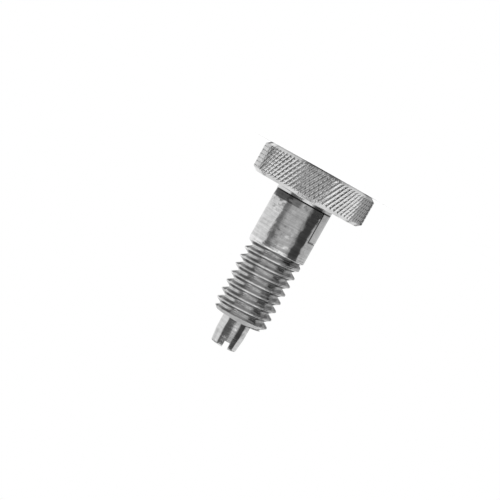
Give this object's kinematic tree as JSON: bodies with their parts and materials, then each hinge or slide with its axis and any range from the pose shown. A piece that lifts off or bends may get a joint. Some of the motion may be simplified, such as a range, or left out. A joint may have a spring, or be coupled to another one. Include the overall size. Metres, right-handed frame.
{
  "type": "indexing plunger",
  "caption": "Locking hand-retractable indexing plunger: threaded steel barrel, sprung slotted nose pin, and a knurled pull knob whose half-round dog holds the nose back when turned.",
  "frame": {"origin": "centre of the knob's flat end, on which the plunger stands", "axes": "+Z along the plunger's axis, from the knob towards the nose; the dog's flat lies in the XZ plane, with the dog on the +Y side"},
  "size_m": [0.0254, 0.0254, 0.0417],
  "materials": {
    "barrel_steel": "turned, with faint lathe rings",
    "knob_steel": "turned, with a rolled diamond knurl on the rim",
    "pin_steel": "ground smooth",
    "spring_steel": "drawn wire"
  },
  "bodies": {
    "barrel": {"barrel": "barrel_steel", "spring": "spring_steel"},
    "plunger": {"knob": "knob_steel", "plunger_pin": "pin_steel"}
  },
  "joints": [
    {"name": "pull", "type": "slide", "parent": "barrel", "child": "plunger", "axis": [0, 0, -1], "range_m": [0, 0.0076], "stiffness_N_per_m": 2000, "springref_m": -0.0045, "deforming": ["spring"]}
  ]
}
